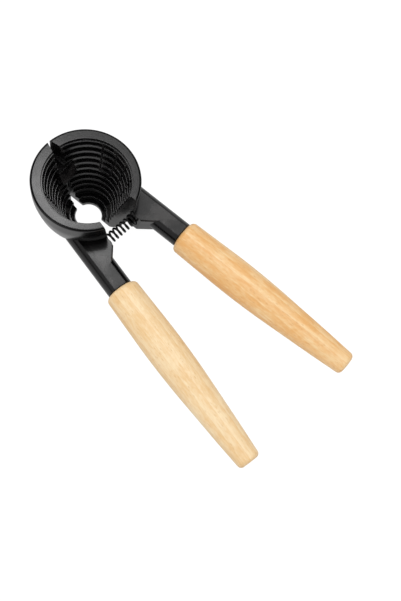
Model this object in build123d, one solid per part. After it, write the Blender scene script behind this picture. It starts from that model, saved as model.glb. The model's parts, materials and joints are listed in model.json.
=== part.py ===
from build123d import *
import math
import os

# Cone nutcracker: two cast half-funnel jaws on a hinge pin, a coil spring between their arms
# and a turned wooden handle on each arm. Millimetres, +Z up, funnel mouth up.
# +Y points to the hinge, the handles run towards -Y, and the right jaw is at +X.
# Everything is modelled about the hinge axis first, then moved so that the origin is at the
# bottom centre of the whole object as it rests, jaws open.

# --- driving dimensions -------------------------------------------------------------------

half_open = 7.2            # degrees each jaw swings from closed to open
funnel_height = 53.0
hinge_to_funnel = 23.1     # hinge axis to the funnel's outer axis
bore_offset = 1.0          # the ribbed bore sits this much further from the hinge

# cutting shapes run past the faces that they cut by the first, and past the whole jaw by the second
past = 1.0
far = 60.0

# outer wall of the funnel: radius against height
rim_r = 29.5
rim_edge = 1.4             # rounding of the rim's outer edge
wall_points = [(18.6, 6.0), (22.3, 14.0), (25.5, 23.0), (27.9, 32.0), (29.1, 40.0)]
wall_top_z = 46.0          # straight from here up to the rim
wall_lean = (1.0, 1.6)     # direction of the wall as it leaves the foot
foot_r = 15.2              # small end
foot_edge = 0.8

# ribbed bore: ring crests climb a cone from the small end to the mouth
mouth_r = 24.4
mouth_step_z = 51.6
mouth_ledge_r = 23.6
crest_first = (13.1, 10.9)
crest_rise = 4.7
crest_grow = 1.19
crest_count = 9
crest_flat = 0.35          # flat land on each crest
gutter_drop = 0.8          # the gutter behind a crest slopes down by this much
riser_undercut = 0.06      # each riser leans over its gutter by this much
floor_crest = (10.4, 5.6)
hole_r = 7.7
hole_z = 2.6               # height of the innermost ledge round the hole

# grooves that cut across the upper ring crests, by angle from the hinge
groove_angles = [64.0, 86.0, 107.0, 128.5]
groove_width = 1.1
groove_from_z = 27.0
groove_to_z = 51.0
groove_depth = 1.3
groove_reach = 2.0         # each groove's cutter starts this far inside the crests

# split between the jaws, as half gaps in the closed state
seam_gap = 0.15            # lips and hinge block
mouth_half_gap = 5.0       # handle side, at the rim
lip_top_z = 4.0            # below this the lips meet flat
slit_outer = 1.5           # hinge side, above the hinge block
slit_inner = 2.6
slit_taper = (30.1, 21.1)  # the slit widens between these distances from the funnel's axis

# hinge
block_half_width = 7.0
block_front = 6.6
block_back = 2.5
block_foot = 10.0          # reach of the block's foot towards the funnel's small end
block_foot_top = 5.0
barrel_r = 6.5
barrel_clearance = 0.35
knuckle_gap = 0.3
knuckle_low = 11.0         # top of the right jaw's lower knuckle
knuckle_high = 27.5        # bottom of the right jaw's upper knuckle
block_top = 38.5           # top of the upper knuckle
upper_half_width = 5.6     # the upper knuckle is square, with a flat front inside the bore
upper_front = 6.1          # at its top edge; the front follows the bore's slope below
upper_back = 9.4
upper_corner = 3.0
upper_fall = 2.4           # its top slopes down by this much towards the back
pocket_steps = 6           # swing positions used to shape the left jaw's pocket for it
pin_r = 2.0
pin_running = 0.05         # radial clearance in the right jaw's knuckles
pin_recess = 0.4
pin_top = 34.8             # the pin stops inside the upper knuckle, whose hole is blind
pin_end_gap = 0.3
pin_chamfer = 0.4

# arms
arm_z = 29.5               # height of the arms' and handles' mid-plane
arm_x = 13.55              # arm axis to the closed split plane
shank_r = 7.25
shank_flat = 6.3           # half the thickness over the flats
shank_edge = 0.8           # chamfer round the shank's end face
shank_end = 78.0           # hinge axis to the shank's end face at the wood
shank_start = 37.0
web_swell = 0.45           # at its inner face the web stands this far above the shank's flats
web_face = 1.7             # web's inner face to the closed split plane
web_corner = 54.5
web_end = (7.6, 62.0)      # where the web's slanted face meets the shank
web_tip_y = 66.3           # where the web's edge fades out at the middle of the shank's flat
web_root = 44.0            # the plate's straight inner face starts here, in the funnel's wall
web_root_x = 5.7           # further in, hidden by the wall, it starts this far from the split
web_overlap = 1.0          # the plate ends this far past the shank's axis
web_edge = 0.7
web_edge_reach = 6.0       # the chamfer on the plate's edges starts this far before web_root
web_corner_r = 1.0

# spring seats and spring
seat_y = 50.7
seat_r = 3.75
seat_depth = 3.8
seat_reach = 6.0           # the seat's cutter stands out of the web's face by this much
wire_r = 0.6
coil_r = 2.75              # to the middle of the wire
coil_turns = 8.15
coil_length = 21.3         # along the wire's middle, from end to end

# wooden handles
handle_length = 114.2
# turned outline: distance from the shank end, and radius
handle_points = [(2.6, 9.7), (20.0, 10.1), (38.0, 10.4), (57.0, 10.0), (77.0, 8.9),
                 (96.0, 7.75), (111.7, 6.6)]
nose_face_r = 7.8          # flat face at the shank end
butt_face_r = 4.0          # flat at the far end
nose_slope = (0.1, 1)      # direction of the outline at the first and last of its points
butt_slope = (-0.13, 1)
tang_r = 4.0
tang_length = 60.0
tang_tip = 0.8
tang_glue = 0.05
tang_room = 2.0


# --- helpers ------------------------------------------------------------------------------

def swing(shape):
    """Turns a shape of the right jaw from its closed place to its open place."""
    return Rot(0, 0, half_open) * shape


def revolved(points_or_face, y):
    """A body of revolution about a vertical axis at the given y."""
    return Pos(0, y, 0) * revolve(points_or_face, Axis.Z)


def box_between(x, y, z):
    """A box from three (low, high) pairs."""
    size = [high - low for low, high in (x, y, z)]
    centre = [(high + low) / 2 for low, high in (x, y, z)]
    return Pos(*centre) * Box(*size)


def upright(radius, z_low, z_high):
    """A vertical cylinder on the hinge axis."""
    return Pos(0, 0, (z_low + z_high) / 2) * Cylinder(radius, z_high - z_low)


# --- funnel -------------------------------------------------------------------------------

def funnel_outside():
    """The bowl-shaped outside of the whole funnel, as a solid of revolution."""
    base_start = (foot_r - foot_edge, 0)
    base_end = (foot_r, foot_edge)
    rim_start = (rim_r, funnel_height - rim_edge)
    rim_end = (rim_r - rim_edge, funnel_height)
    edge_mid = rim_edge * (1 - math.sqrt(0.5))
    rim_mid = (rim_r - edge_mid, funnel_height - edge_mid)
    outline = Line((0, 0), base_start)
    outline += Line(base_start, base_end)
    outline += Spline(base_end, *wall_points, (rim_r, wall_top_z), tangents=[wall_lean, (0, 1)])
    outline += Line((rim_r, wall_top_z), rim_start)
    outline += ThreePointArc(rim_start, rim_mid, rim_end)
    outline += Line(rim_end, (0, funnel_height))
    outline += Line((0, funnel_height), (0, 0))
    return revolved(make_face(Plane.XZ * outline), -hinge_to_funnel)


def bore_outline():
    """Radius and height of the ribbed bore, from below the hole to above the mouth."""
    crests = [(hole_r, hole_z), floor_crest]
    for ring in range(crest_count):
        crests.append((crest_first[0] + ring * crest_grow, crest_first[1] + ring * crest_rise))
    next_radii = [radius for radius, _ in crests[1:]] + [mouth_ledge_r]
    points = [(0, -past), (hole_r, -past)]
    for (radius, height), next_r in zip(crests, next_radii):
        points.append((radius, height))
        points.append((radius + crest_flat, height))
        points.append((next_r + riser_undercut, height - gutter_drop))
    points += [(mouth_ledge_r, mouth_step_z), (mouth_r, mouth_step_z)]
    points += [(mouth_r, funnel_height + past), (0, funnel_height + past)]
    return points


def bore():
    """The ribbed inside of the funnel, with the grooves that cross its upper crests."""
    outline = Polyline(*bore_outline(), close=True)
    solid = revolve(make_face(Plane.XZ * outline), Axis.Z)
    slope = crest_grow / crest_rise

    def crest_r(z):
        return crest_first[0] + (z - crest_first[1]) * slope

    for angle in groove_angles:
        low = crest_r(groove_from_z)
        high = crest_r(groove_to_z)
        side = Polyline((low - groove_reach, groove_from_z), (low + groove_depth, groove_from_z),
                        (high + groove_depth, groove_to_z), (high - groove_reach, groove_to_z),
                        close=True)
        groove = extrude(make_face(Plane.XZ * side), groove_width / 2, both=True)
        solid += Rot(0, 0, 90 - angle) * groove
    return Pos(0, -hinge_to_funnel - bore_offset, 0) * solid


def left_of_split():
    """Everything on the far side of the right jaw's split faces, in the closed state."""
    top = funnel_height + past
    wide = mouth_half_gap + (mouth_half_gap - seam_gap) / (funnel_height - lip_top_z)
    lips = Polyline((-far, -past), (seam_gap, -past), (seam_gap, lip_top_z), (wide, top),
                    (-far, top), close=True)
    handle_side = extrude(make_face(Plane.XZ * lips), far)
    hinge_side = box_between((-far, seam_gap), (0, far), (-past, top))
    slit = Polyline((-far, slit_taper[0]), (slit_outer, slit_taper[0]),
                    (slit_inner, slit_taper[1]), (slit_inner, -past), (-far, -past), close=True)
    above_block = Pos(0, 0, block_top) * extrude(make_face(slit), top - block_top)
    return Pos(0, -hinge_to_funnel, 0) * (handle_side + hinge_side + above_block)


# --- arm ----------------------------------------------------------------------------------

def arm():
    """Web plate, shank and tang of the right jaw, in the closed state."""
    section = Circle(shank_r) & Rectangle(3 * shank_r, 2 * shank_flat)
    shank = extrude(Plane(origin=(arm_x, -shank_end, arm_z), x_dir=(1, 0, 0),
                          z_dir=(0, 1, 0)) * section, shank_end - shank_start)
    shank = chamfer(shank.faces().sort_by(Axis.Y)[0].edges(), shank_edge)
    plate_end = arm_x + web_overlap
    outline = Polyline((web_face, -web_root), (web_face, -web_corner),
                       (web_end[0], -web_end[1]), (arm_x, -web_tip_y), (plate_end, -web_tip_y),
                       (plate_end, -shank_start), (web_root_x, -shank_start), close=True)
    plate = extrude(make_face(outline), shank_r, both=True)
    swell_slope = web_swell / (arm_x - web_face)
    far_half = shank_flat - swell_slope
    near_half = shank_flat + web_swell
    taper = Polyline((web_face, -near_half), (plate_end, -far_half), (plate_end, far_half),
                     (web_face, near_half), close=True)
    plate &= extrude(make_face(Plane.XZ * taper), web_tip_y)
    plate = Pos(0, 0, arm_z) * plate
    inner_faces = plate.edges().filter_by(Axis.Z).sort_by(Axis.X)[:2]
    corner = [edge for edge in inner_faces if abs(edge.center().Y + web_corner) < 0.1]
    plate = fillet(corner, web_corner_r)
    flat_edges = [edge for edge in plate.edges().filter_by(Axis.Z, reverse=True)
                  if edge.center().X < web_end[0] and edge.center().Y < web_edge_reach - web_root]
    plate = chamfer(flat_edges, web_edge)
    tang = Pos(arm_x, -shank_end - tang_length / 2, arm_z) * Rot(90, 0, 0) \
        * Cylinder(tang_r, tang_length)
    tip = tang.edges().sort_by(Axis.Y)[0]
    return shank + plate + chamfer(tip, tang_tip)


def spring_seat():
    """The blind hole in the right web's inner face that holds the spring's end."""
    length = seat_depth + seat_reach
    hole = Pos(web_face + seat_depth - length / 2, -seat_y, arm_z) * Rot(0, 90, 0) \
        * Cylinder(seat_r, length)
    return hole


# --- jaws ---------------------------------------------------------------------------------

def hinge_block(top):
    """The right jaw's half of the block round the hinge, in the closed state."""
    return box_between((0, block_half_width), (-block_front, block_back), (0, top))


def upper_knuckle(clearance, low, high, fall):
    """The square upper knuckle between two heights, grown by a clearance, in the closed state."""
    slope = crest_grow / crest_rise
    half_width = upper_half_width + clearance
    front_low = upper_front + clearance + (block_top - low) * slope
    front_high = upper_front + clearance + (block_top - high) * slope
    back = upper_back + clearance
    side = Polyline((-front_low, low), (-front_high, high), (back, high - fall), (back, low),
                    close=True)
    block = extrude(make_face(Plane.YZ * side), half_width, both=True)
    back_edges = block.edges().filter_by(Axis.Z).sort_by(Axis.Y)[-2:]
    return fillet(back_edges, upper_corner)


def upper_pocket():
    """Room for the upper knuckle in the mirrored left jaw, over the whole swing."""
    grown = upper_knuckle(barrel_clearance, knuckle_high - knuckle_gap, block_top + knuckle_gap, 0)
    room = Rot(0, 0, half_open) * grown
    for step in range(1, pocket_steps + 1):
        room += Rot(0, 0, half_open * (1 - 2 * step / pocket_steps)) * grown
    return room


def jaw(own_knuckles, rooms, block_height, hole_radius):
    """A right-hand jaw in its open place, with its knuckles and with room for the other's."""
    body = funnel_outside() + swing(arm())
    foot = box_between((0, block_half_width), (-block_foot, 0), (0, block_foot_top))
    body += swing(foot)
    body -= bore()
    body += swing(hinge_block(block_height))
    body -= swing(left_of_split())
    for knuckle in own_knuckles:
        body += knuckle
    for room in rooms:
        body -= room
    body -= upright(hole_radius, -past, pin_top + pin_end_gap)
    body -= swing(spring_seat())
    return body


def right_jaw():
    own = [upright(barrel_r, 0, knuckle_low),
           swing(upper_knuckle(0, knuckle_high, block_top, upper_fall))]
    room = upright(barrel_r + barrel_clearance, knuckle_low, knuckle_high)
    return jaw(own, [room], knuckle_high, pin_r + pin_running)


def left_jaw():
    low = knuckle_low + knuckle_gap
    high = knuckle_high - knuckle_gap
    own = upright(barrel_r, low, high)
    room = upright(barrel_r + barrel_clearance, -past, low)
    return mirror(jaw([own], [room, upper_pocket()], high, pin_r), Plane.YZ)


def hinge_pin():
    pin = upright(pin_r, pin_recess, pin_top)
    return chamfer(pin.edges().filter_by(GeomType.CIRCLE), pin_chamfer)


# --- spring and handles -------------------------------------------------------------------

def return_spring():
    """Compression spring lying across the gap, its ends in the two seats."""
    path = Helix(coil_length / coil_turns, coil_length, coil_r)
    start = Plane(origin=path @ 0, z_dir=path % 0)
    wire = sweep(start * Circle(wire_r), path, is_frenet=True)
    middle_y = -seat_y * math.cos(math.radians(half_open)) \
        + (web_face + seat_depth / 2) * math.sin(math.radians(half_open))
    return Pos(-coil_length / 2, middle_y, arm_z) * Rot(0, 90, 0) * wire


def right_handle():
    """Turned handle with a blind bore for the tang, in its open place."""
    stations = [(radius, along) for along, radius in handle_points]
    nose_start = (nose_face_r, 0)
    butt_end = (butt_face_r, handle_length)
    outline = Line((0, 0), nose_start)
    outline += TangentArc(stations[0], nose_start, tangent=(0, -1), tangent_from_first=True)
    outline += Spline(*stations, tangents=[nose_slope, butt_slope])
    outline += TangentArc(stations[-1], butt_end, tangent=butt_slope, tangent_from_first=True)
    outline += Line(butt_end, (0, handle_length))
    outline += Line((0, handle_length), (0, 0))
    body = revolve(make_face(Plane.XZ * outline), Axis.Z)
    bore_length = tang_length + tang_room
    body -= Pos(0, 0, bore_length / 2) * Cylinder(tang_r + tang_glue, bore_length)
    return swing(Pos(arm_x, -shank_end, arm_z) * Rot(90, 0, 0) * body)


# --- the assembly, moved to its origin ----------------------------------------------------

right_grip = right_handle()
parts = {
    "left_jaw": left_jaw(),
    "right_jaw": right_jaw(),
    "hinge_pin": hinge_pin(),
    "return_spring": return_spring(),
    "left_handle": mirror(right_grip, Plane.YZ),
    "right_handle": right_grip,
}

boxes = [part.bounding_box() for part in parts.values()]
y_low = min(box.min.Y for box in boxes)
y_high = max(box.max.Y for box in boxes)
hinge_y = -(y_low + y_high) / 2

os.makedirs("parts", exist_ok=True)
for name, part in parts.items():
    export_step(Pos(0, hinge_y, 0) * part, f"parts/{name}.step")
print("hinge axis at y", round(hinge_y, 4))
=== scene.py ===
import bmesh
import bpy
import json
import math
from mathutils import Matrix, Vector


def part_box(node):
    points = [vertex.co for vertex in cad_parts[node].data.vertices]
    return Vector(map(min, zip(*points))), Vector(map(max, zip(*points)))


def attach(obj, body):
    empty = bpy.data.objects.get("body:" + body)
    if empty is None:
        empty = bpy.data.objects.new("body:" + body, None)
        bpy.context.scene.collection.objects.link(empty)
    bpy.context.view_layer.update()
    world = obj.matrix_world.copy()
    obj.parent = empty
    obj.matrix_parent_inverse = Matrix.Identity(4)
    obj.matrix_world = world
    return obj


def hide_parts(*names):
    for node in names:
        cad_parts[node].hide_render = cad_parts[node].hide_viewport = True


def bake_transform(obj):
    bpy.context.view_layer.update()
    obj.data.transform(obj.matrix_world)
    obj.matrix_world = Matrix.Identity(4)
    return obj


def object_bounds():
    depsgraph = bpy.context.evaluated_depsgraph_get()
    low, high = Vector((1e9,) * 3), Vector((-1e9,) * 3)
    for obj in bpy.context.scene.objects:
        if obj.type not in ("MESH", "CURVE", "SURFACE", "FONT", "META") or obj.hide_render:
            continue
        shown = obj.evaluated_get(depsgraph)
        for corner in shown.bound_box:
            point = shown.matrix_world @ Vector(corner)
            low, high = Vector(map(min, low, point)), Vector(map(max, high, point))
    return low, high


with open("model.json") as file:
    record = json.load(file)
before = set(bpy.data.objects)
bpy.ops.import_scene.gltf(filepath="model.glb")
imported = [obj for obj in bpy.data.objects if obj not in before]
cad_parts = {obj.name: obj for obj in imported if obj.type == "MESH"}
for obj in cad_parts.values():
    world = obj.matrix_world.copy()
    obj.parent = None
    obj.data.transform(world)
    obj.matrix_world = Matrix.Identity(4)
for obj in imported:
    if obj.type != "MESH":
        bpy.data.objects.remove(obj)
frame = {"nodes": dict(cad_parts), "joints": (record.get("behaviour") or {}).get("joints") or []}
cad_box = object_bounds()

MM = 0.001
JOINT = frame["joints"][0]
HINGE = Vector(JOINT["pos_m"])
HALF_OPEN = math.radians(max(JOINT["range_deg"])) / 2
LOW = Vector(cad_box[0])
HIGH = Vector(cad_box[1])

# Castings: their edges are rounded as cast and painted metal is
CASTING_EDGE = 0.18        # mm
CASTING_EDGE_STEPS = 2
ROUNDED_ANGLE = math.radians(32)    # edges that turn by more than this are rounded
MERGE_DISTANCE = 0.002     # mm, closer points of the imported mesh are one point
FLAT_ANGLE = math.radians(0.05)     # faces that turn by less than this are one face
NORMAL_WEIGHT = 80         # how far large faces lead the shading over the rounded edges

# Handles, in mm: turned outline as distance from the shank and radius, and the ends
HANDLE_OUTLINE = [(2.6, 9.7), (20.0, 10.1), (38.0, 10.4), (57.0, 10.0), (77.0, 8.9),
                  (96.0, 7.75), (111.7, 6.6)]
NOSE_FACE_R = 7.8
BUTT_FACE_R = 4.0
CENTRE_MARK_R = 1.2        # the hole that the lathe's centre leaves in the butt
CENTRE_MARK_DEPTH = 2.0
TANG_BORE_R = 4.05
TANG_BORE_DEPTH = 62.0
SEGMENTS = 96              # round the handle
NOSE_STEPS = 9
OUTLINE_STEPS = 10         # between two points of the outline
BUTT_STEPS = 10
CREASE_ANGLE = math.radians(40)     # edges that turn by more than this are shaded sharp

# Spring, in mm
WIRE_R = 0.6
COIL_TURNS = 8.15
COIL_START = math.radians(-60)
COIL_INSET = 0.02          # keeps the coil just inside the CAD spring's box
STEPS_PER_TURN = 40
WIRE_SIDES = 12

# Surroundings, in metres: the object stands on a light table
FLOOR_GLOW = 0.96
REFLECTED_GLOW = 0.50      # how bright the table is in reflections
REFLECTED_DEPTH = 0.001    # the table that reflections see lies this far below
WORLD_GLOW = 0.6           # soft light from all round, left out of reflections
FLOOR_HALF = 8.0
BACKDROP_R = 7.0


# --- node helpers -------------------------------------------------------------------------

class Nodes:
    """Short ways to add and join shader nodes in one material."""

    def __init__(self, name):
        self.material = bpy.data.materials.new(name)
        self.material.use_nodes = True
        self.tree = self.material.node_tree
        self.tree.nodes.clear()
        self.output = self.add("ShaderNodeOutputMaterial")
        self.shader = self.add("ShaderNodeBsdfPrincipled")
        self.link(self.shader.outputs["BSDF"], self.output.inputs["Surface"])

    def add(self, kind, **settings):
        node = self.tree.nodes.new(kind)
        for key, value in settings.items():
            setattr(node, key, value)
        return node

    def link(self, source, target):
        self.tree.links.new(source, target)

    def object_coords(self, turn=0.0, stretch=(1, 1, 1), location=(0, 0, 0)):
        """Object coordinates turned about Z, in which features are stretched along the axes."""
        coords = self.add("ShaderNodeTexCoord")
        mapping = self.add("ShaderNodeMapping", vector_type="TEXTURE")
        mapping.inputs["Rotation"].default_value = (0, 0, turn)
        mapping.inputs["Scale"].default_value = stretch
        mapping.inputs["Location"].default_value = location
        self.link(coords.outputs["Object"], mapping.inputs["Vector"])
        return mapping.outputs["Vector"]

    def noise(self, vector, scale, detail=2.0, roughness=0.5, distortion=0.0):
        node = self.add("ShaderNodeTexNoise")
        node.inputs["Scale"].default_value = scale
        node.inputs["Detail"].default_value = detail
        node.inputs["Roughness"].default_value = roughness
        node.inputs["Distortion"].default_value = distortion
        self.link(vector, node.inputs["Vector"])
        return node.outputs["Fac"]

    def ramp(self, value, stops):
        node = self.add("ShaderNodeValToRGB")
        ramp = node.color_ramp
        while len(ramp.elements) < len(stops):
            ramp.elements.new(0.5)
        for element, (position, colour) in zip(ramp.elements, stops):
            element.position = position
            element.color = (*colour, 1.0)
        self.link(value, node.inputs["Fac"])
        return node.outputs["Color"]

    def remap(self, value, from_low, from_high, to_low, to_high):
        node = self.add("ShaderNodeMapRange")
        for key, number in (("From Min", from_low), ("From Max", from_high),
                            ("To Min", to_low), ("To Max", to_high)):
            node.inputs[key].default_value = number
        self.link(value, node.inputs["Value"])
        return node.outputs["Result"]

    def mix_colour(self, factor, first, second):
        node = self.add("ShaderNodeMix", data_type="RGBA", blend_type="MIX")
        for value, name in ((factor, "Factor"), (first, "A"), (second, "B")):
            socket = [s for s in node.inputs if s.name == name and s.enabled][0]
            if isinstance(value, bpy.types.NodeSocket):
                self.link(value, socket)
            else:
                socket.default_value = value if name == "Factor" else (*value, 1.0)
        return [s for s in node.outputs if s.enabled][0]

    def math(self, operation, first, second):
        node = self.add("ShaderNodeMath", operation=operation)
        for index, value in enumerate((first, second)):
            if isinstance(value, bpy.types.NodeSocket):
                self.link(value, node.inputs[index])
            else:
                node.inputs[index].default_value = value
        return node.outputs["Value"]

    def bump(self, height, strength, distance, normal=None):
        node = self.add("ShaderNodeBump")
        node.inputs["Strength"].default_value = strength
        node.inputs["Distance"].default_value = distance
        self.link(height, node.inputs["Height"])
        if normal is not None:
            self.link(normal, node.inputs["Normal"])
        return node.outputs["Normal"]


# --- materials: a noise's scale is how many of its features fit in a metre -----------------

def shaded(colour, shares):
    return tuple(value * share for value, share in zip(colour, shares))


def cast_black():
    """Satin black paint over a die casting: faint orange peel, softer patches, rubbed edges."""
    n = Nodes("cast_black")
    place = n.object_coords()
    peel = n.noise(place, 1500.0, detail=3.0, roughness=0.6)
    patches = n.noise(place, 90.0, detail=4.0, roughness=0.55)
    pointy = n.add("ShaderNodeNewGeometry").outputs["Pointiness"]
    edge = n.remap(pointy, 0.515, 0.58, 0.0, 1.0)
    worn = n.math("MULTIPLY", edge, n.remap(patches, 0.42, 0.62, 0.0, 0.55))
    paint = n.ramp(patches, [(0.35, (0.0014, 0.0013, 0.0014)), (0.65, (0.0034, 0.0031, 0.0033))])
    colour = n.mix_colour(worn, paint, (0.045, 0.042, 0.041))
    n.link(colour, n.shader.inputs["Base Color"])
    n.link(n.remap(patches, 0.3, 0.7, 0.17, 0.23), n.shader.inputs["Roughness"])
    n.shader.inputs["Specular IOR Level"].default_value = 0.55
    soft = n.add("ShaderNodeBevel", samples=6)
    soft.inputs["Radius"].default_value = 0.2 * MM
    n.link(n.bump(peel, 0.25, 0.05 * MM, soft.outputs["Normal"]), n.shader.inputs["Normal"])
    return n.material


def beech(name, pale, deep, turn, seed):
    """Sanded beech with its grain along the handle: soft bands, streaks, mottling and ray flecks."""
    n = Nodes(name)
    place = (seed, seed * 0.7, seed * 1.3)      # each handle is cut from its own place
    plain = n.object_coords(turn, location=place)
    grain = n.object_coords(turn, (1.0, 14.0, 1.0), place)
    short = n.object_coords(turn, (1.0, 3.5, 1.0), place)
    cloud = n.noise(plain, 50.0, detail=2.0)
    blotch = n.noise(short, 230.0, detail=3.0, roughness=0.6)
    mottle = n.noise(short, 1000.0, detail=2.0, roughness=0.6)
    streaks = n.noise(grain, 300.0, detail=4.0, roughness=0.55, distortion=0.3)
    fibre = n.noise(grain, 1700.0, detail=3.0, roughness=0.6)
    bands = n.add("ShaderNodeTexWave", bands_direction="X", wave_profile="SAW")
    for key, number in (("Scale", 70.0), ("Distortion", 5.0), ("Detail", 2.0),
                        ("Detail Scale", 0.6)):
        bands.inputs[key].default_value = number
    n.link(grain, bands.inputs["Vector"])
    tone = n.math("MULTIPLY", bands.outputs["Fac"], 0.10)
    for layer, share in ((streaks, 0.20), (blotch, 0.30), (mottle, 0.28), (cloud, 0.22)):
        tone = n.math("ADD", tone, n.math("MULTIPLY", layer, share))
    base = n.ramp(tone, [(0.46, pale), (0.64, deep)])
    fibres = n.mix_colour(n.remap(fibre, 0.45, 0.75, 0.0, 0.35), base,
                          shaded(deep, (0.88, 0.78, 0.62)))
    rays = n.add("ShaderNodeTexVoronoi", feature="F1")
    rays.inputs["Scale"].default_value = 1000.0
    n.link(short, rays.inputs["Vector"])
    chosen = n.math("GREATER_THAN", n.noise(short, 520.0, detail=0.0), 0.54)
    fleck = n.math("MULTIPLY", n.remap(rays.outputs["Distance"], 0.14, 0.34, 1.0, 0.0), chosen)
    colour = n.mix_colour(n.math("MULTIPLY", fleck, 0.40), fibres,
                          shaded(deep, (0.72, 0.54, 0.34)))
    n.link(colour, n.shader.inputs["Base Color"])
    n.link(n.remap(streaks, 0.3, 0.7, 0.40, 0.50), n.shader.inputs["Roughness"])
    n.shader.inputs["Specular IOR Level"].default_value = 0.5
    height = n.math("SUBTRACT", n.math("MULTIPLY", fibre, 0.6), fleck)
    n.link(n.bump(height, 0.35, 0.04 * MM), n.shader.inputs["Normal"])
    return n.material


def spring_black():
    """Black oiled spring steel with a faint, uneven scale."""
    n = Nodes("spring_black")
    place = n.object_coords()
    scale = n.noise(place, 700.0, detail=3.0)
    n.link(n.ramp(scale, [(0.4, (0.004, 0.004, 0.004)), (0.7, (0.010, 0.010, 0.011))]),
           n.shader.inputs["Base Color"])
    n.link(n.remap(scale, 0.3, 0.7, 0.38, 0.50), n.shader.inputs["Roughness"])
    n.shader.inputs["Specular IOR Level"].default_value = 0.4
    n.link(n.bump(scale, 0.2, 0.02 * MM), n.shader.inputs["Normal"])
    return n.material


def pin_steel():
    """Bare steel with fine turning marks round the pin."""
    n = Nodes("pin_steel")
    turned = n.object_coords(stretch=(1.0, 1.0, 0.08))
    marks = n.noise(turned, 900.0, detail=2.0)
    n.link(n.ramp(marks, [(0.35, (0.42, 0.42, 0.43)), (0.65, (0.58, 0.58, 0.59))]),
           n.shader.inputs["Base Color"])
    n.link(n.remap(marks, 0.3, 0.7, 0.25, 0.4), n.shader.inputs["Roughness"])
    n.shader.inputs["Metallic"].default_value = 1.0
    n.link(n.bump(marks, 0.15, 0.01 * MM), n.shader.inputs["Normal"])
    return n.material


def white_glow(name, glow):
    """An almost even white glow over a dark diffuse sheet."""
    n = Nodes(name)
    place = n.object_coords()
    n.link(n.ramp(n.noise(place, 6.0), [(0.3, (0.08, 0.08, 0.08)), (0.7, (0.10, 0.10, 0.10))]),
           n.shader.inputs["Base Color"])
    n.shader.inputs["Roughness"].default_value = 0.8
    n.shader.inputs["Emission Color"].default_value = (1.0, 1.0, 1.0, 1.0)
    n.shader.inputs["Emission Strength"].default_value = glow
    return n.material


# --- pieces -------------------------------------------------------------------------------

def wear(obj, material):
    obj.data.materials.clear()
    obj.data.materials.append(material)


def stand_for(obj, node, body):
    """Makes a piece ride on a body and hide a CAD node."""
    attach(obj, body)
    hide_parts(node)


def mesh_object(name, mesh):
    obj = bpy.data.objects.new(name, mesh)
    bpy.context.scene.collection.objects.link(obj)
    return obj


def softened_casting(node, name):
    """A copy of a CAD casting with its sharp edges rounded."""
    mesh = frame["nodes"][node].data.copy()
    mesh.name = name
    bm = bmesh.new()
    bm.from_mesh(mesh)
    bmesh.ops.remove_doubles(bm, verts=bm.verts, dist=MERGE_DISTANCE * MM)
    bmesh.ops.dissolve_limit(bm, angle_limit=FLAT_ANGLE, verts=bm.verts, edges=bm.edges)
    for face in bm.faces:
        face.smooth = True
    bm.to_mesh(mesh)
    bm.free()
    obj = mesh_object(name, mesh)
    bevel = obj.modifiers.new("rounded edges", "BEVEL")
    bevel.width = CASTING_EDGE * MM
    bevel.segments = CASTING_EDGE_STEPS
    bevel.limit_method = "ANGLE"
    bevel.angle_limit = ROUNDED_ANGLE
    bevel.miter_outer = "MITER_ARC"
    bevel.use_clamp_overlap = True
    evened = obj.modifiers.new("even normals", "WEIGHTED_NORMAL")
    evened.weight = NORMAL_WEIGHT
    return obj


def eased(points, steps):
    """A smooth curve through the points, with a few steps between neighbours."""
    curve = []
    for index in range(len(points) - 1):
        before = Vector(points[max(index - 1, 0)])
        start = Vector(points[index])
        end = Vector(points[index + 1])
        after = Vector(points[min(index + 2, len(points) - 1)])
        span = end.x - start.x
        leave = (end - before) / (end.x - before.x) * span
        arrive = (after - start) / (after.x - start.x) * span
        for step in range(steps):
            t = step / steps
            curve.append((2 * t**3 - 3 * t**2 + 1) * start + (t**3 - 2 * t**2 + t) * leave
                         + (3 * t**2 - 2 * t**3) * end + (t**3 - t**2) * arrive)
    curve.append(Vector(points[-1]))
    return [tuple(point) for point in curve]


def handle_profile(length):
    """Distance from the shank and radius, in mm, from the bore's floor out and round to the butt."""
    shoulder, shoulder_r = HANDLE_OUTLINE[0]
    round_r = (shoulder**2 + (shoulder_r - NOSE_FACE_R)**2) / (2 * (shoulder_r - NOSE_FACE_R))
    steepest = math.asin(shoulder / round_r)
    nose = []
    for step in range(NOSE_STEPS):
        angle = steepest * (1 - step / NOSE_STEPS)
        nose.append((shoulder - round_r * math.sin(angle),
                     shoulder_r - round_r * (1 - math.cos(angle))))
    last, last_r = HANDLE_OUTLINE[-1]
    butt = []
    for step in range(1, BUTT_STEPS + 1):
        angle = math.pi / 2 * step / BUTT_STEPS
        butt.append((last + (length - last) * math.sin(angle),
                     BUTT_FACE_R + (last_r - BUTT_FACE_R) * math.cos(angle)))
    mark = [(length, CENTRE_MARK_R), (length - CENTRE_MARK_DEPTH, CENTRE_MARK_R),
            (length - CENTRE_MARK_DEPTH - CENTRE_MARK_R / 2, 0)]
    tang_bore = [(TANG_BORE_DEPTH, 0), (TANG_BORE_DEPTH, TANG_BORE_R), (0, TANG_BORE_R)]
    return tang_bore + nose + eased(HANDLE_OUTLINE, OUTLINE_STEPS) + butt + mark


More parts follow.
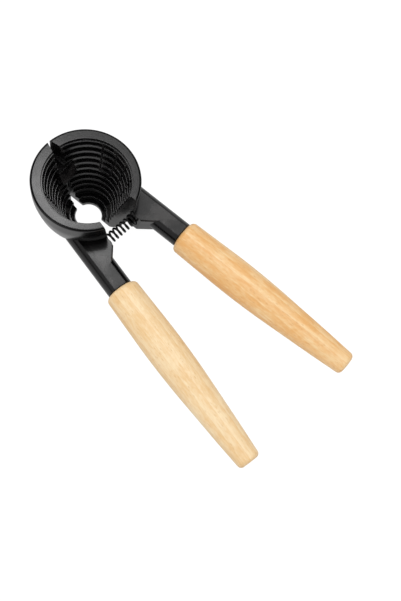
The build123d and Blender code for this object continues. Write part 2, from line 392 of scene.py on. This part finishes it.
def lathe(name, profile, place):
    """A closed mesh turned about the profile's axis; place puts (across, along, up) in the scene."""
    bm = bmesh.new()
    rings = []
    for along, radius in profile:
        if radius == 0:
            rings.append([bm.verts.new(place(0, along, 0))])
            continue
        ring = []
        for index in range(SEGMENTS):
            angle = 2 * math.pi * index / SEGMENTS
            ring.append(bm.verts.new(place(radius * math.cos(angle), along,
                                           radius * math.sin(angle))))
        rings.append(ring)
    for first, second in zip(rings, rings[1:]):
        for index in range(SEGMENTS):
            after = (index + 1) % SEGMENTS
            corners = [first[index % len(first)], first[after % len(first)],
                       second[after % len(second)], second[index % len(second)]]
            bm.faces.new(list(dict.fromkeys(corners)))
    bmesh.ops.recalc_face_normals(bm, faces=bm.faces)
    for face in bm.faces:
        face.smooth = True
    for edge in bm.edges:
        if edge.calc_face_angle(0) > CREASE_ANGLE:
            edge.smooth = False
    mesh = bpy.data.meshes.new(name)
    bm.to_mesh(mesh)
    bm.free()
    return mesh_object(name, mesh)


def turned_handle(node, name, turn):
    """The finely turned wooden handle that stands for a CAD handle, along the same axis."""
    swing = Matrix.Translation(HINGE) @ Matrix.Rotation(turn, 4, "Z") @ Matrix.Translation(-HINGE)
    level = swing.inverted()
    points = [level @ vertex.co for vertex in frame["nodes"][node].data.vertices]
    lows = [min(point[axis] for point in points) for axis in range(3)]
    highs = [max(point[axis] for point in points) for axis in range(3)]
    axis_x = (lows[0] + highs[0]) / 2
    axis_z = (lows[2] + highs[2]) / 2
    length = (highs[1] - lows[1]) / MM

    def place(across, along, up):
        return swing @ Vector((axis_x + across * MM, highs[1] - along * MM, axis_z + up * MM))

    return lathe(name, handle_profile(length), place)


def coil_spring():
    """The return spring as a smooth tube along its helix, from seat to seat."""
    low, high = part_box("return_spring")
    centre = (Vector(low) + Vector(high)) / 2
    coil_r = (high[2] - low[2]) / 2 - (WIRE_R + COIL_INSET) * MM
    length = high[0] - low[0] - 2 * WIRE_R * MM
    steps = round(COIL_TURNS * STEPS_PER_TURN)
    rise = length / steps * STEPS_PER_TURN / (2 * math.pi)
    bm = bmesh.new()
    rings = []
    for step in range(steps + 1):
        angle = COIL_START + 2 * math.pi * step / STEPS_PER_TURN
        middle = centre + Vector((length * (step / steps - 0.5), coil_r * math.cos(angle),
                                  coil_r * math.sin(angle)))
        outward = Vector((0, math.cos(angle), math.sin(angle)))
        ahead = Vector((rise, -coil_r * math.sin(angle), coil_r * math.cos(angle))).normalized()
        side = ahead.cross(outward)
        ring = []
        for index in range(WIRE_SIDES):
            turn = 2 * math.pi * index / WIRE_SIDES
            ring.append(bm.verts.new(middle + WIRE_R * MM * (math.cos(turn) * outward
                                                             + math.sin(turn) * side)))
        rings.append(ring)
    for first, second in zip(rings, rings[1:]):
        for index in range(WIRE_SIDES):
            after = (index + 1) % WIRE_SIDES
            bm.faces.new((first[index], first[after], second[after], second[index]))
    bm.faces.new(rings[0])
    bm.faces.new(rings[-1])
    bmesh.ops.recalc_face_normals(bm, faces=bm.faces)
    for face in bm.faces:
        face.smooth = len(face.verts) == 4
    mesh = bpy.data.meshes.new("return_spring_coil")
    bm.to_mesh(mesh)
    bm.free()
    return mesh_object("return_spring_coil", mesh)


black = cast_black()
for node, body in (("left_jaw", "left_half"), ("right_jaw", "right_half")):
    casting = softened_casting(node, node + "_casting")
    wear(casting, black)
    stand_for(casting, node, body)

wear(frame["nodes"]["hinge_pin"], pin_steel())

spring = coil_spring()
wear(spring, spring_black())
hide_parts("return_spring")
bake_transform(spring)

for node, body, turn, slot_name, pale, deep, seed in (
        ("left_handle", "left_half", -HALF_OPEN, "beech_pale",
         (0.81, 0.64, 0.405), (0.73, 0.49, 0.24), 0.31),
        ("right_handle", "right_half", HALF_OPEN, "beech_warm",
         (0.79, 0.56, 0.30), (0.72, 0.39, 0.135), 0.77)):
    handle = turned_handle(node, node + "_wood", turn)
    wear(handle, beech(slot_name, pale, deep, turn, seed))
    stand_for(handle, node, body)


# --- floor, lights and camera -------------------------------------------------------------

def add_floor(name, glow, depth):
    """A glowing square a given depth below the object's lowest point."""
    mesh = bpy.data.meshes.new(name)
    corners = [(x * FLOOR_HALF, y * FLOOR_HALF, 0) for x, y in ((-1, -1), (1, -1), (1, 1), (-1, 1))]
    mesh.from_pydata(corners, [], [(0, 1, 2, 3)])
    floor = mesh_object(name, mesh)
    floor.location.z = LOW.z - depth
    wear(floor, white_glow(name, glow))
    return floor


def add_backdrop():
    """A white dome that only the camera sees, so that the floor has no horizon in low views."""
    mesh = bpy.data.meshes.new("backdrop")
    bm = bmesh.new()
    bmesh.ops.create_icosphere(bm, subdivisions=4, radius=BACKDROP_R)
    bm.to_mesh(mesh)
    bm.free()
    dome = mesh_object("backdrop", mesh)
    dome.visible_diffuse = False
    dome.visible_glossy = False
    dome.visible_transmission = False
    dome.visible_shadow = False
    wear(dome, white_glow("backdrop", FLOOR_GLOW))


def add_area_light(name, place, target, size, power, in_reflections=True):
    light = bpy.data.lights.new(name, "AREA")
    light.shape = "DISK"
    light.size = size
    light.energy = power
    lamp = bpy.data.objects.new(name, light)
    lamp.location = place
    direction = Vector(target) - Vector(place)
    lamp.rotation_euler = direction.to_track_quat("-Z", "Y").to_euler()
    lamp.visible_glossy = in_reflections
    bpy.context.scene.collection.objects.link(lamp)


def add_world():
    world = bpy.data.worlds.new("studio")
    world.use_nodes = True
    background = world.node_tree.nodes["Background"]
    background.inputs["Color"].default_value = (1.0, 1.0, 1.0, 1.0)
    background.inputs["Strength"].default_value = WORLD_GLOW
    bpy.context.scene.world = world
    world.cycles_visibility.glossy = False


def add_camera():
    """Looks down on the funnel's mouth from the left, turned a little about its own axis."""
    azimuth = math.radians(-64.42)
    elevation = math.radians(73.02)
    roll = math.radians(20.81)
    distance = 496.5 * MM
    target = Vector((5.66 * MM, HINGE.y - 108.44 * MM, 25.29 * MM))
    back = Vector((math.sin(azimuth) * math.cos(elevation),
                   -math.cos(azimuth) * math.cos(elevation), math.sin(elevation)))
    level = Vector((math.cos(azimuth), math.sin(azimuth), 0))
    upright = back.cross(level)
    right = math.cos(roll) * level + math.sin(roll) * upright
    up = math.cos(roll) * upright - math.sin(roll) * level
    camera_data = bpy.data.cameras.new("camera")
    camera_data.sensor_fit = "HORIZONTAL"
    camera_data.sensor_width = 36.0
    camera_data.lens = 81.42
    camera = bpy.data.objects.new("camera", camera_data)
    rotation = Matrix((right, up, back)).transposed().to_4x4()
    camera.matrix_world = Matrix.Translation(target + back * distance) @ rotation
    bpy.context.scene.collection.objects.link(camera)
    bpy.context.scene.camera = camera


light_table = add_floor("light_table", FLOOR_GLOW, 0.0)
light_table.visible_glossy = False
add_floor("reflected_table", REFLECTED_GLOW, REFLECTED_DEPTH)
add_backdrop()
add_world()
centre = (LOW + HIGH) / 2
add_area_light("tent_top", centre + Vector((0.1, 0.15, 0.80)), centre, 0.75, 1.69)
add_area_light("key", HINGE + Vector((0.11, 0.22, 0.78)), HINGE, 0.17, 0.45)
add_area_light("side", centre + Vector((-0.75, 0.1, 0.4)), centre, 0.7, 0.6)
add_area_light("fill", centre + Vector((-0.1, -0.1, 0.9)), centre, 1.2, 4.6, in_reflections=False)
bpy.context.scene.view_settings.view_transform = "Standard"
add_camera()
